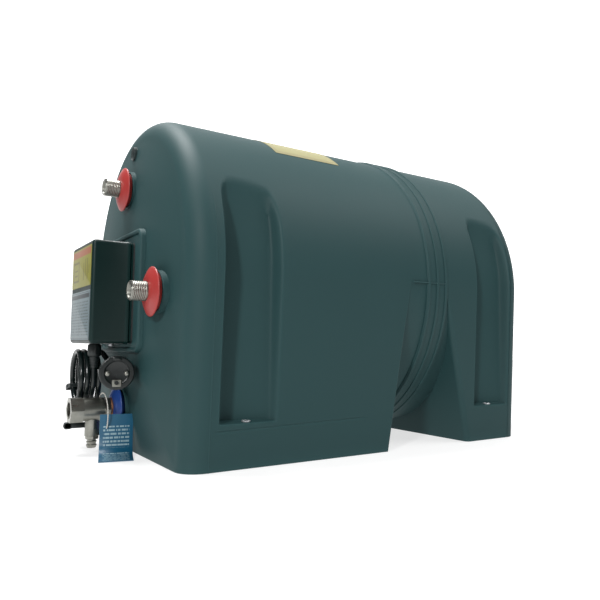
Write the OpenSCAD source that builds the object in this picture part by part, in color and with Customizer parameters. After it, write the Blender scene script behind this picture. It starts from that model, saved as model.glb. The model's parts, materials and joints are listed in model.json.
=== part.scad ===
// Marine tank water heater: a foamed plastic casing on two saddle feet around a steel tank,
// with a thermostat box, pipe stubs, a relief valve and a coiled mains lead on its front end.
// +Z is up, the front end faces -Y, and the origin is on the floor at the centre of the
// four fixing holes.

/* [Casing] */
// Width across the barrel of the casing, which the overall height follows
body_w = 388; // [380:1:396]
// Height of the barrel's axis above the floor
axis_h = 206; // [204:1:210]
// Distance from the fixing centre to the flat rim of the front end
front_reach = 250; // [248:1:254]
// Distance from the fixing centre to the rear end
rear_reach = 240; // [236:1:246]
// Width of the flat rim round the domed front end
edge_r = 24; // [20:1:26]
// How far the front end domes out
dome_h = 14; // [12:1:16]
// Thickness of the moulded skins
wall = 4; // [3:0.5:5]
// How far each side leans in between the axis and the floor
side_draft = 10; // [6:1:14]

/* [Side grooves and fixing holes] */
// Width of the four side grooves
groove_w = 60; // [54:1:64]
// Distance across the casing between the floors of opposite grooves
groove_span = 342; // [336:1:350]
// Height of the ledge at the foot of each groove
ledge_h = 48; // [44:1:54]
// Spacing of the fixing holes across the casing
fix_dx = 356; // [354:1:358]
// Spacing of the fixing holes along the casing
fix_dy = 364; // [356:1:368]
// Diameter of the fixing holes
fix_d = 7; // [6.4:0.2:7.4]

/* [Tank] */
// Radius of the tank
tank_r = 162; // [156:1:164]
// Height of the tank's axis above the floor
tank_z = 200; // [198:1:204]
// Thickness of the tank's sheet steel
tank_wall = 2; // [1.5:0.5:3]

/* [Pipe stubs] */
// Outside diameter of the half inch pipe thread
thread_d = 20.96; // [20.8:0.01:21]
// Distance of the exchanger stubs from the centre line
side_x = 120; // [116:1:124]
// Height of the exchanger stubs
side_z = 182; // [176:1:188]
// Height of the hot water stub
hot_z = 315; // [308:1:320]
// Height of the cold water stub
cold_z = 50; // [48:1:54]
// Largest diameter of the coloured collars
collar_d = 53; // [50:1:56]

/* [Thermostat box] */
// Width of the box cover
box_w = 104; // [98:1:108]
// Height of the box cover
box_h = 118; // [114:1:120]
// Height of the middle of the box
box_z = 185; // [184:1:187]
// Distance that the box stands out from its pad
box_d = 46; // [42:1:50]

/* [Mains lead] */
// Diameter of the lead
cord_d = 6.4; // [6.4:0.1:6.8]
// Radius of the coil at the middle of its turns
coil_r = 33; // [32.5:0.5:33.5]
// Depth of the coil, in cord diameters
coil_turns = 5; // [5:1:5]

/* [Hidden] */
$fn = 64;

body_r = body_w / 2;
front_y = -front_reach;
rear_y = rear_reach;
pad_y = front_y - dome_h;
boss_y = front_y - 11;
joint_y = 75.5;
skirt_top_y = 32;
skirt_foot_y = 4;
leg_top_y = 89;
leg_foot_y = 138;
rib_pitch = 14.5;
sleeve_r = 5;
thread_r = thread_d / 2;
stub_end = front_y - 39;
collar_top = boss_y - 11;
flange_y = -228;
box_low = box_z - box_h / 2;
box_front = pad_y - box_d;
base_t = 3;
cover_y = pad_y - 1.5 - base_t;
coil_x = -48;
coil_z = 84;
coil_y = -290;
cord_r = cord_d / 2;
coil_w = coil_turns * cord_d;
gland = [coil_x + coil_r, coil_y + 1, 98];
plug_at = [72, -285, 95];
plug_turn = -14;
valve_z = cold_z;
valve_y = -292;
steel = "silver";
// Route of the lead from its gland to the first turn of the coil
lead_points = [[-15, -289, 98], [-15, -289, 95], [-15, -289, 92], [-15, -289, 88], [-15, -289, 84]];
// Route of the lead from the last turn of the coil to the plug
tail_points = [[-48, -277, 117], [-42, -277, 117], [-36, -276.8, 116.5], [-30, -276.1, 115.1],
    [-25, -275.2, 112.8], [-20, -274.1, 109.6], [-15, -272.9, 105.7], [-10, -271.7, 101.9],
    [-5, -270.5, 98.6], [0, -269.3, 96.3], [5, -268.1, 95]];

// ---- helpers

// Turns a shape drawn up Z so that it runs along +Y
module along_y() { rotate([-90, 0, 0]) children(); }

// A ring or disc on the Y axis through (x, z), from y0 to y1
module y_cyl(x, z, y0, y1, r) { translate([x, y0, z]) along_y() cylinder(h = y1 - y0, r = r); }

// A rectangle with round corners, w by h, centred on (0, z), from y0 to y1
module y_plate(w, h, z, y0, y1, r) {
    translate([0, y1, z]) rotate([90, 0, 0]) linear_extrude(y1 - y0)
        union() {
            square([w - 2 * r, h], center = true);
            square([w, h - 2 * r], center = true);
            for (x = [-1, 1], s = [-1, 1]) translate([x * (w / 2 - r), s * (h / 2 - r)]) circle(r);
        }
}

// End view of the casing, set in by g: the barrel's circle on two leaning sides
module end_view(g) {
    half = body_r - side_draft - g;
    union() {
        translate([0, axis_h]) circle(body_r - g, $fn = 96);
        polygon([[-half, g], [half, g], [body_r - g - 0.8, axis_h - 16],
            [g + 0.8 - body_r, axis_h - 16]]);
    }
}

// The casing without its saddle, set in by g
module long_form(g) {
    translate([0, rear_y - g, 0]) rotate([90, 0, 0]) linear_extrude(rear_y - front_y - 2 * g)
        end_view(g);
    translate([0, front_y + g, axis_h]) rotate([90, 0, 0])
        cylinder(h = dome_h, r1 = body_r - edge_r, r2 = body_r / 2, $fn = 96);
}

// The open saddle under the barrel between the two feet, grown by g
module saddle(g) {
    difference() {
        rotate([90, 0, 90]) linear_extrude(2 * body_w, center = true) polygon([
            [skirt_foot_y - g, -1], [leg_foot_y + g, -1], [leg_top_y + g, axis_h],
            [skirt_top_y - g, axis_h]]);
        y_cyl(0, axis_h, -20, 160, body_r - 1 - g);
    }
}

module body_form(g) {
    difference() {
        long_form(g);
        saddle(g);
    }
}

// The four side grooves, grown by g
module grooves(g) {
    for (s = [-1, 1], t = [-1, 1])
        translate([s * (groove_span / 2 - g + 50), t * fix_dy / 2, 180 + ledge_h / 2 - g / 2])
            cube([100, groove_w + 2 * g, 360 - ledge_h + g], center = true);
}

// The four fixing holes
module fix_holes(r, low, high) {
    for (x = [-1, 1], y = [-1, 1]) translate([x * fix_dx / 2, y * fix_dy / 2, low])
        cylinder(h = high - low, r = r);
}

// Both moulded skins as one closed skin
module skin() {
    difference() {
        union() {
            body_form(0);
            y_plate(158, 142, box_z + 2, pad_y - 2.5, pad_y + 20, 14);
            boss(0, hot_z);
            boss(side_x, side_z);
            boss(-side_x, side_z);
            boss(0, cold_z);
        }
        difference() {
            body_form(wall);
            grooves(wall);
            fix_holes(10, 0, ledge_h);
        }
        grooves(0);
        y_plate(144, 128, box_z + 2, pad_y - 6, pad_y, 8);
        y_cyl(0, box_z, pad_y - 1, -200, 52);
        for (p = stub_places()) {
            y_cyl(p[0], p[1], boss_y - 1, -200, thread_r + 0.4);
            y_cyl(p[0], p[1], boss_y - 10, boss_y, collar_d / 2 + 1);
        }
        fix_holes(sleeve_r, -1, ledge_h + 1);
    }
}

function stub_places() = [[0, hot_z], [side_x, side_z], [-side_x, side_z], [0, cold_z]];

// Flat seat for a collar
module boss(x, z) { y_cyl(x, z, boss_y, front_y + 3, 22); }

// ---- casing

module front_shell() {
    color("darkslategray") intersection() {
        skin();
        translate([-300, front_y - 50, -1]) cube([600, joint_y - front_y + 50, 500]);
    }
}

module rear_shell() {
    color("darkslategray") intersection() {
        skin();
        translate([-300, joint_y, -1]) cube([600, 200, 500]);
    }
}

// Thin band with three beads that covers the joint of the two shells
module joint_band() {
    color("darkslategray") translate([0, joint_y, axis_h]) along_y() difference() {
        union() {
            translate([0, 0, -rib_pitch - 3]) cylinder(h = 2 * rib_pitch + 6, r = body_r + 0.9);
            for (i = [-1:1]) translate([0, 0, i * rib_pitch - 2]) cylinder(h = 4, r = body_r + 2.4);
        }
        translate([0, 0, -30]) cylinder(h = 60, r = body_r + 0.1);
    }
}

module insulation() {
    color("khaki") difference() {
        body_form(wall);
        grooves(wall);
        fix_holes(10, 0, ledge_h);
        y_cyl(0, tank_z, flange_y + 12, 196, tank_r);
        y_cyl(0, box_z, pad_y - 1, -200, 53);
        for (p = stub_places()) y_cyl(p[0], p[1], boss_y - 1, -200, thread_r + 0.4);
    }
}

module fixing_sleeves() {
    color(steel) difference() {
        fix_holes(sleeve_r, 0, ledge_h);
        fix_holes(fix_d / 2, -1, ledge_h + 1);
    }
}

// ---- tank

module tank_barrel() {
    color(steel) difference() {
        y_cyl(0, tank_z, -190, 170, tank_r);
        y_cyl(0, tank_z, -191, 171, tank_r - tank_wall);
    }
}

// A dished head, its rim at y = 0 and its crown towards +Z of the turned shape
module head_shape() {
    t = tank_wall;
    rotate_extrude($fn = 96) difference() {
        polygon(concat([[0, 0]], [for (i = [0:8]) [tank_r * cos(i * 11.25), 25 * sin(i * 11.25)]]));
        polygon(concat([[0, -1], [tank_r - t, -1]],
            [for (i = [0:8]) [(tank_r - t) * cos(i * 11.25), (25 - t) * sin(i * 11.25)]]));
    }
}

module tank_front_head() {
    color(steel) difference() {
        translate([0, -190, tank_z]) rotate([90, 0, 0]) head_shape();
        y_cyl(0, box_z, -240, -150, 50);
        for (p = stub_places()) y_cyl(p[0], p[1], -240, -150, thread_r);
    }
}

module tank_rear_head() {
    color(steel) translate([0, 170, tank_z]) along_y() head_shape();
}

// ---- pipes and collars

// A threaded pipe end from the tank to the outside
module stub(x, z, inner) {
    translate([x, stub_end, z]) along_y() rotate_extrude() polygon([
        [7.5, 0], [thread_r - 1.2, 0], [thread_r, 1.2], [thread_r, collar_top - stub_end],
        [thread_r - 0.3, collar_top - stub_end], [thread_r - 0.3, inner - stub_end],
        [7.5, inner - stub_end]]);
}

module hot_stub() { color(steel) stub(0, hot_z, -150); }

module cold_stub() { color(steel) stub(0, cold_z, -188); }

module exchanger_stub_right() { color(steel) stub(side_x, side_z, -190); }

module exchanger_stub_left() { color(steel) stub(-side_x, side_z, -190); }

// The serpentine pipe that joins the exchanger stubs inside the tank
module exchanger_pipe() {
    r = 7;
    pitch = 24;
    low = side_z - 2 * pitch;
    color(steel) union() {
        for (s = [-1, 1]) {
            y_cyl(s * side_x, side_z, -190, 110, r);
            y_cyl(s * side_x, low, -140, 110, r);
            translate([s * side_x, 110, side_z - pitch]) rotate([0, 90, 0]) u_bend(pitch, r);
            y_cyl(s * (side_x - 2 * pitch), low, -140, 110, r);
            y_cyl(s * (side_x - 4 * pitch), low, -140, 110, r);
            translate([s * (side_x - pitch), -140, low]) rotate([0, 0, 180]) u_bend(pitch, r);
            translate([s * (side_x - 3 * pitch), 110, low]) u_bend(pitch, r);
        }
        translate([0, -140, low]) rotate([0, 0, 180]) u_bend(pitch, r);
    }
}

// Half a turn of pipe in the XY plane, bulging towards +Y
module u_bend(rr, r) { rotate_extrude(angle = 180) translate([rr, 0]) circle(r, $fn = 32); }

// A domed plastic collar round a stub
module collar(x, z) {
    r = collar_d / 2;
    translate([x, boss_y, z]) rotate([90, 0, 0]) rotate_extrude() polygon(concat(
        [[thread_r + 0.1, 0], [r - 6, 0], [r - 5, 3.4], [r, 4], [r, 5.5]],
        [for (i = [1:6]) [r - (r - thread_r - 1) * i / 6, 5.5 + 5.5 * sin(i * 15)]]));
}

module hot_collar() { color("indianred") collar(0, hot_z); }

module exchanger_collar_right() { color("indianred") collar(side_x, side_z); }

module exchanger_collar_left() { color("indianred") collar(-side_x, side_z); }

module cold_collar() { color("royalblue") collar(0, cold_z); }

// ---- heater flange and what it carries

module bolt_ring(r, y0, y1) {
    for (a = [30:60:330]) y_cyl(42 * cos(a), box_z + 42 * sin(a), y0, y1, r);
}

module flange_ring() {
    color(steel) difference() {
        y_cyl(0, box_z, flange_y, -208, 50);
        y_cyl(0, box_z, flange_y - 1, -207, 32);
        bolt_ring(3.5, flange_y - 1, -207);
    }
}

module flange_gasket() {
    color("dimgray") difference() {
        y_cyl(0, box_z, flange_y - 2, flange_y, 50);
        y_cyl(0, box_z, flange_y - 3, flange_y + 1, 32);
        bolt_ring(3.5, flange_y - 3, flange_y + 1);
    }
}

// Places on the heater plate: element legs, pocket and anode
leg_x = 13;
leg_z = box_z - 12;
pocket = [16, box_z + 12];
anode = [-12, box_z + 14];
plate_y = flange_y - 8;

module heater_plate() {
    color(steel) difference() {
        y_cyl(0, box_z, plate_y, flange_y - 2, 50);
        bolt_ring(3.5, plate_y - 1, flange_y);
        for (s = [-1, 1]) y_cyl(s * leg_x, leg_z, plate_y - 1, flange_y, 4.1);
        y_cyl(pocket[0], pocket[1], plate_y - 1, flange_y, 5);
        y_cyl(anode[0], anode[1], plate_y - 1, flange_y, 4);
    }
}

module flange_bolts() {
    color(steel) {
        bolt_ring(3.5, plate_y, -208);
        for (a = [30:60:330]) translate([42 * cos(a), plate_y, box_z + 42 * sin(a)])
            rotate([90, 0, 0]) cylinder(h = 5, r = 7, $fn = 6);
    }
}

module heating_element() {
    color("dimgray") {
        for (s = [-1, 1]) y_cyl(s * leg_x, leg_z, plate_y - 16, 60, 4.1);
        translate([0, 60, leg_z]) u_bend(leg_x, 4.1);
    }
}

module thermostat_pocket() {
    color(steel) difference() {
        y_cyl(pocket[0], pocket[1], plate_y, -60, 5);
        y_cyl(pocket[0], pocket[1], plate_y - 1, -62, 3.6);
    }
}

module thermostat_probe() { color("peru") y_cyl(pocket[0], pocket[1], plate_y - 4, -70, 3.5); }

module anode_rod() {
    color("gray") {
        y_cyl(anode[0], anode[1], plate_y, flange_y - 2, 4);
        y_cyl(anode[0], anode[1], flange_y - 2, -40, 9);
        translate([anode[0], plate_y, anode[1]]) rotate([90, 0, 0]) cylinder(h = 5, r = 6.5, $fn = 6);
    }
}

dial_z = box_z + 16;
cutout = [-18, box_z + 18];

module thermostat_body() {
    color("ivory") difference() {
        translate([4, plate_y - 34, box_z + 1]) cube([24, 34, 30]);
        y_cyl(17, dial_z, plate_y - 40, plate_y - 24, 3.05);
        y_cyl(pocket[0], pocket[1], plate_y - 4, plate_y + 1, 3.6);
    }
}

module thermostat_dial() {
    color("black") {
        y_cyl(17, dial_z, plate_y - 42.3, plate_y - 34.3, 10);
        y_cyl(17, dial_z, plate_y - 34.3, plate_y - 25, 3);
        translate([16.2, plate_y - 43.3, dial_z]) cube([1.6, 1.1, 9]);
    }
}

module safety_cutout() {
    color("ivory") difference() {
        y_cyl(cutout[0], cutout[1], plate_y - 26, plate_y, 11);
        y_cyl(cutout[0], cutout[1], plate_y - 30, plate_y - 14, 3.05);
        y_cyl(anode[0], anode[1], plate_y - 6, plate_y + 1, 7.5);
    }
}

module reset_button() { color("firebrick") y_cyl(cutout[0], cutout[1], plate_y - 31, plate_y - 18, 3); }

module terminal_block() {
    color("ivory") difference() {
        translate([-26, cover_y - 12, box_z - 44.5]) cube([52, 12, 14]);
        for (i = [-1.5:1:1.5]) y_cyl(i * 12, box_z - 37.5, cover_y - 13, cover_y - 4, 2.5);
    }
}

// ---- thermostat box

module box_gasket() {
    color("black") difference() {
        y_plate(box_w - 2, box_h - 2, box_z, pad_y - 1.5, pad_y, 5);
        y_plate(box_w - 12, box_h - 12, box_z, pad_y - 3, pad_y + 1, 4);
    }
}

// Back of the box: a flat frame with two posts for the cover screws and a rail for the terminals
module box_base() {
    color("darkslategray") {
        difference() {
            y_plate(box_w, box_h, box_z, cover_y, pad_y - 1.5, 5);
            y_cyl(0, box_z, cover_y - 1, pad_y, 46);
        }
        for (s = [-1, 1]) difference() {
            translate([-8, cover_y - 10, s > 0 ? box_z + box_h / 2 - 12 : box_low + 3])
                cube([16, 10, 9]);
            translate([0, cover_y - 5, s > 0 ? box_z + box_h / 2 - 13 : box_low - 1])
                cylinder(h = 14, r = 1.6);
        }
    }
}

module box_cover() {
    color("darkslategray") difference() {
        y_plate(box_w, box_h, box_z, box_front, cover_y, 5);
        y_plate(box_w - 5, box_h - 5, box_z, box_front + 3, cover_y + 1, 3);
        for (s = [-1, 1]) translate([0, cover_y - 5, s > 0 ? box_z + box_h / 2 - 3 : box_low - 1])
            cylinder(h = 4, r = 1.9);
        translate([gland[0], gland[1], box_low - 1]) cylinder(h = 5, r = 6);
    }
}

module cover_screws() {
    color(steel) for (s = [-1, 1]) translate([0, cover_y - 5, box_z])
        rotate([s > 0 ? 0 : 180, 0, 0]) {
            translate([0, 0, box_h / 2]) cylinder(h = 2.2, r = 3.2);
            translate([0, 0, box_h / 2 - 11]) cylinder(h = 11, r = 1.6);
        }
}

// ---- mains lead

// Cable gland through the cover's floor with a tapered bend relief
module cord_gland() {
    color("black") translate([gland[0], gland[1], gland[2]]) rotate_extrude() polygon([
        [cord_r, 11], [cord_r + 1.4, 11], [6, box_low - 12 - gland[2]], [8, box_low - 13 - gland[2]],
        [8, box_low - gland[2]], [6, box_low - gland[2]], [6, box_low + 2.5 - gland[2]],
        [7.6, box_low + 2.5 - gland[2]], [7.6, box_low + 6 - gland[2]],
        [cord_r, box_low + 6 - gland[2]]]);
}

function unit(v) = v / norm(v);

// Rings of 10 points square to a route; up is any direction that the route never follows
function tube_rings(route, up, r) = [for (i = [0:len(route) - 1]) let (
    t = unit(route[min(i + 1, len(route) - 1)] - route[max(i - 1, 0)]),
    u = unit(cross(t, up)), v = cross(u, t))
    for (k = [0:9]) route[i] + r * (u * cos(36 * k) + v * sin(36 * k))];

module tube(route, up, r) {
    n = len(route);
    polyhedron(points = tube_rings(route, up, r), faces = concat(
        [[for (k = [9:-1:0]) k]],
        [for (i = [0:n - 2], k = [0:9]) let (j = (k + 1) % 10, a = 10 * i, b = a + 10)
            [a + k, a + j, b + j, b + k]],
        [[for (k = [0:9]) 10 * (n - 1) + k]]));
}

module cord_lead() { color("black") tube(lead_points, [0, 1, 0], cord_r); }

module cord_tail() { color("black") tube(tail_points, [0, 1, 0], cord_r); }

module cord_coil() {
    color("black") translate([coil_x, coil_y - coil_w / 2, coil_z]) along_y() difference() {
        cylinder(h = coil_w, r = coil_r + cord_r);
        translate([0, 0, -1]) cylinder(h = coil_w + 2, r = coil_r - cord_r);
    }
}

// A strap round the coil's turns, low on its outer side
module cord_tie() {
    t = 1.2;
    color("dimgray") translate([coil_x, coil_y, coil_z]) rotate([0, 200, 0])
        translate([coil_r, 0, -2.5]) difference() {
            translate([-cord_r - t, -coil_w / 2 - t, 0]) cube([cord_d + 2 * t, coil_w + 2 * t, 5]);
            translate([-cord_r - 0.15, -coil_w / 2, -1]) cube([cord_d + 0.3, coil_w, 7]);
        }
}

// Places a shape drawn with its face at the origin, looking along +X
module at_plug() { translate(plug_at) rotate([0, 0, plug_turn]) children(); }

module plug_body() {
    color("black") at_plug() difference() {
        rotate([0, -90, 0]) rotate_extrude() polygon([[0, 0], [17.5, 0], [18.5, 1], [18.5, 12],
            [15, 20], [11, 44], [6.5, 46], [4.6, 69], [0, 69]]);
        translate([-12, -4, 11]) cube([13, 8, 8]);
        for (s = [-1, 1]) translate([-15, s * 9.5, 0]) rotate([0, 90, 0]) cylinder(h = 16, r = 2.4);
        translate([-4, -5, -14]) cube([5, 10, 8]);
    }
}

module plug_pins() {
    color(steel) at_plug() for (s = [-1, 1]) translate([-15, s * 9.5, 0]) rotate([0, 90, 0])
        cylinder(h = 34, r = 2.4);
}

module plug_earth() {
    color(steel) at_plug() difference() {
        translate([-4, -5, -14]) cube([4.4, 10, 8]);
        translate([-3, 0, -10]) rotate([0, 90, 0]) cylinder(h = 5, r = 2.4);
    }
}

// ---- cold water inlet and its valve

module valve_gasket() {
    color("sienna") difference() {
        y_cyl(0, valve_z, collar_top - 2, collar_top, 13);
        y_cyl(0, valve_z, collar_top - 3, collar_top + 1, thread_r + 0.1);
    }
}

module valve_nut() {
    color(steel) difference() {
        translate([0, collar_top - 9, valve_z]) along_y() cylinder(h = 7, r = 15, $fn = 6);
        y_cyl(0, valve_z, collar_top - 10, collar_top - 1, thread_r);
    }
}

// Brass body: screwed on the cold stub, with a check chamber, a hexagon end and a relief branch
module valve_body() {
    color(steel) difference() {
        union() {
            y_cyl(0, valve_z, -304, collar_top - 9, 13.5);
            translate([0, -318, valve_z]) along_y() cylinder(h = 14, r = 15.6, $fn = 6);
            translate([0, valve_y, 20]) cylinder(h = 22, r = 8);
            translate([-20, valve_y, 30]) rotate([0, 90, 0]) cylinder(h = 13, r = 4);
        }
        y_cyl(0, valve_z, -319, -306, 9.5);
        y_cyl(0, valve_z, -307, -300, 5.5);
        y_cyl(0, valve_z, -301, -289, 8.5);
        y_cyl(0, valve_z, -290, collar_top, thread_r);
        translate([0, valve_y, 19]) cylinder(h = 17, r = 5.55);
        translate([0, valve_y, 35]) cylinder(h = 9, r = 2.5);
        translate([-21, valve_y, 30]) rotate([0, 90, 0]) cylinder(h = 12, r = 2.05);
    }
}

module check_poppet() {
    color("ivory") {
        y_cyl(0, valve_z, -300.7, -298.7, 7.5);
        y_cyl(0, valve_z, -298.7, -291, 2);
    }
}

module check_spring() {
    color(steel) difference() {
        y_cyl(0, valve_z, -294.4, -289.2, 8.2);
        y_cyl(0, valve_z, -295, -289, 6.5);
    }
}

module relief_piston() {
    color("peru") {
        translate([0, valve_y, 32.5]) cylinder(h = 3.2, r = 5.5);
        translate([0, valve_y, 23]) cylinder(h = 9.5, r = 1.5);
    }
}

module relief_spring() {
    color(steel) translate([0, valve_y, 24.4]) difference() {
        cylinder(h = 7.8, r = 4.6);
        translate([0, 0, -1]) cylinder(h = 10, r = 3.4);
    }
}

// Drain spout screwed into the branch, its hose end pointing down
module relief_cap() {
    color(steel) translate([0, valve_y, 0]) difference() {
        union() {
            translate([0, 0, 20]) cylinder(h = 4, r = 5.5);
            translate([0, 0, 6]) cylinder(h = 14, r = 5);
            translate([0, 0, 16]) cylinder(h = 4, r = 8, $fn = 6);
            for (z = [7, 11]) translate([0, 0, z]) cylinder(h = 3, r1 = 5, r2 = 6);
        }
        translate([0, 0, 5]) cylinder(h = 20, r = 2.6);
    }
}

// Test lever beside the relief branch, lying along the valve at rest
module relief_lever() {
    color("dimgray") difference() {
        union() {
            translate([-23.5, valve_y, 30]) rotate([0, 90, 0]) cylinder(h = 3.2, r = 5.5);
            translate([-23.5, valve_y - 26, 27]) cube([3.2, 26, 6]);
            translate([-26.5, valve_y - 26, 26]) cube([6.2, 8, 8]);
        }
        translate([-27, valve_y, 30]) rotate([0, 90, 0]) cylinder(h = 8, r = 2.05);
    }
}

module lever_pin() {
    color(steel) {
        translate([-24, valve_y, 30]) rotate([0, 90, 0]) cylinder(h = 15, r = 2);
        translate([-25.5, valve_y, 30]) rotate([0, 90, 0]) cylinder(h = 1.5, r = 3.4);
    }
}

// ---- labels and tag

module front_label() {
    color("khaki") y_plate(box_w - 10, 46, box_low + box_h - 29, box_front - 0.4, box_front, 2);
}

module rating_plate() {
    color("lightgray") y_plate(box_w - 10, 56, box_low + 33, box_front - 0.4, box_front, 2);
}

// Label stuck on the right shoulder of the barrel
module top_label() {
    color("lemonchiffon") translate([0, -120, axis_h]) rotate([90, 0, 0]) mirror([0, 0, 1])
        linear_extrude(92) polygon(concat(
            [for (a = [52:4:80]) (body_r + 0.5) / cos(2) * [cos(a), sin(a)]],
            [for (a = [80:-4:52]) (body_r + 0.02) / cos(2) * [cos(a), sin(a)]]));
}

tag_t = 0.8;
// Side view of the tag: down from the string, round a bend and out along the floor
tag_line = concat([[0, 46], [0.5, 38], [1.2, 30], [2.4, 22]],
    [for (a = [200:15:260]) [20.4 + 18 * cos(a), 20 + 18 * sin(a)]],
    [[26, 1.4], [36, 0.8], [46, 0.4]]);

module care_tag() {
    n = len(tag_line) - 1;
    color("steelblue") translate([29, -272, 0]) rotate([0, 0, plug_turn]) rotate([90, 0, 0])
        linear_extrude(36, center = true) polygon(concat(tag_line,
            [for (i = [n:-1:0]) tag_line[i] + [tag_t * (i < 4 ? 1 : 0.5), i < 4 ? 0 : tag_t]]));
}

// Loop of string from the tag round the valve's neck
module tag_string() {
    color("white") translate([7, collar_top - 10.5, 44]) along_y() rotate_extrude()
        translate([25, 0]) circle(0.8, $fn = 16);
}

front_shell();
rear_shell();
joint_band();
insulation();
tank_barrel();
tank_front_head();
tank_rear_head();
fixing_sleeves();
hot_stub();
cold_stub();
exchanger_stub_right();
exchanger_stub_left();
exchanger_pipe();
hot_collar();
exchanger_collar_right();
exchanger_collar_left();
cold_collar();
flange_ring();
flange_gasket();
heater_plate();
flange_bolts();
heating_element();
thermostat_pocket();
anode_rod();
thermostat_probe();
thermostat_body();
thermostat_dial();
safety_cutout();
reset_button();
terminal_block();
box_gasket();
box_base();
box_cover();
cover_screws();
cord_gland();
cord_lead();
cord_coil();
cord_tail();
cord_tie();
plug_body();
plug_pins();
plug_earth();
valve_gasket();
valve_nut();
valve_body();
check_poppet();
check_spring();
relief_piston();
relief_spring();
relief_cap();
relief_lever();
lever_pin();
front_label();
rating_plate();
top_label();
care_tag();
tag_string();
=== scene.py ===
"""Marine tank water heater: a moulded casing on two saddle feet with a thermostat box, pipe stubs,
a relief valve and a coiled mains lead on its front end. +Z is up and the front end faces -Y.
Shapes are worked out in millimetres, as the part is dimensioned, and put into meshes in metres."""
import json
import math

import bmesh
import bpy
import numpy as np
from mathutils import Matrix, Vector


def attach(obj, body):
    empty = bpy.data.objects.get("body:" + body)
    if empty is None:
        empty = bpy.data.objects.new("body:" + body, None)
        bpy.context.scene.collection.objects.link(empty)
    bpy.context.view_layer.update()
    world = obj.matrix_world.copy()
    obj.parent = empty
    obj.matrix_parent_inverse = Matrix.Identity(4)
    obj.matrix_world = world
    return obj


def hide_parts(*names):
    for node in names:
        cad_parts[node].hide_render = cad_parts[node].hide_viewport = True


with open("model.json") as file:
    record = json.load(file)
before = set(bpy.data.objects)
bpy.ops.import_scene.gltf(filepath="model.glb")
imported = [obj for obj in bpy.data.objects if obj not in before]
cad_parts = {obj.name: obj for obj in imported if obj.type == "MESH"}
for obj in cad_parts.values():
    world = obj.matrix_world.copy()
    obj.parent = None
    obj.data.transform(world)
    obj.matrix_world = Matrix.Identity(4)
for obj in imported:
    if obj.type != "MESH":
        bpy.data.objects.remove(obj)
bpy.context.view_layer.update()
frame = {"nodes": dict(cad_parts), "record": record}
nodes = frame["nodes"]


# ---- View
# The heater is seen from beyond its front right foot, a little above the floor, so that the front
# end is on the left of the picture and the right-hand side runs away to the rear.
VIEW_PLACE = Vector((0.769, -0.4704, 0.1283))
VIEW_YAW, VIEW_PITCH, VIEW_ROLL = 0.952, 0.076, 0.007
VIEW_LENS = 37.01

look = Vector((-math.sin(VIEW_YAW) * math.cos(VIEW_PITCH),
               math.cos(VIEW_YAW) * math.cos(VIEW_PITCH), math.sin(VIEW_PITCH)))
level = look.cross(Vector((0, 0, 1))).normalized()
rise = level.cross(look)
right = math.cos(VIEW_ROLL) * level + math.sin(VIEW_ROLL) * rise
up = right.cross(look)
camera_data = bpy.data.cameras.new("view")
camera_data.sensor_width = 36
camera_data.lens = VIEW_LENS
camera_data.shift_x, camera_data.shift_y = -0.084, -0.005
camera_data.clip_start = 0.05
camera = bpy.data.objects.new("view", camera_data)
camera.matrix_world = Matrix((right, up, -look)).transposed().to_4x4()
camera.location = VIEW_PLACE
bpy.context.scene.collection.objects.link(camera)
bpy.context.scene.camera = camera
bpy.context.scene.view_settings.view_transform = "Standard"


# ---- Mains lead
# A round rubber lead leaves the gland under the box, is wound beside it in a small coil that a tie
# holds, and ends in the plug. It is stiff enough to keep its turns side by side.
CORD_D = 6.4
LEAD_EXIT = np.array([-15.0, -289.0, 98.0])
COIL_MIDDLE, COIL_R, COIL_TURNS = (-48.0, 84.0), 33.0, 3.75
COIL_Y, COIL_STEP = -290.0, 6.6
TAIL_ROUTE = np.array([
    [-42, -277, 117], [-36, -276.8, 116.5], [-30, -276.1, 115.1], [-25, -275.2, 112.8],
    [-20, -274.1, 109.6], [-15, -272.9, 105.7], [-10, -271.7, 101.9], [-5, -270.5, 98.6],
    [0, -269.3, 96.3], [5, -268.1, 95]], float)


def ease(t):
    """Smooth rise from 0 to 1: t * t * (3 - 2 * t), with t held between 0 and 1."""
    t = np.clip(t, 0, 1)
    return t * t * (3 - 2 * t)


def quads(rows, columns, loop=False):
    """Corners of the quads of a grid whose rows are rings: each column joins the next one round,
    and on a loop the last row joins the first."""
    i = np.arange(rows if loop else rows - 1)[:, None]
    j = np.arange(columns)[None, :]
    i2, j2 = (i + 1) % rows, (j + 1) % columns
    corners = (i * columns + j, i * columns + j2, i2 * columns + j2, i2 * columns + j)
    return np.stack(corners, -1).reshape(-1, 4)


def rings(points, loop=False):
    """A closed patch from a (rows, columns, 3) grid: its quads, and a cap on each end ring."""
    rows, columns = points.shape[:2]
    faces = quads(rows, columns, loop).tolist()
    if not loop:
        faces.append(list(range(columns))[::-1])
        faces.append(list(range((rows - 1) * columns, rows * columns)))
    return points.reshape(-1, 3), faces


def sweep(route, section, turned=(0, 1, 0), grow=None):
    """Carries a section along a route: point + a * side + b * up, where side is square to both the
    route and the direction turned, and grow scales the section from row to row."""
    route = np.asarray(route, float)
    ahead = np.gradient(route, axis=0)
    ahead /= np.linalg.norm(ahead, axis=1, keepdims=True)
    side = np.cross(ahead, turned)
    side /= np.linalg.norm(side, axis=1, keepdims=True)
    over = np.cross(side, ahead)
    grow = np.ones(len(route)) if grow is None else np.asarray(grow, float)
    a, b = section[:, 0][None, :, None], section[:, 1][None, :, None]
    return rings(route[:, None] + grow[:, None, None] * (a * side[:, None] + b * over[:, None]))


def circle(radius, count=24):
    """Points of a circle: radius * (cos, sin) of evenly spaced angles."""
    angle = np.arange(count) * 2 * np.pi / count
    return radius * np.stack([np.cos(angle), np.sin(angle)], 1)


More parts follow.
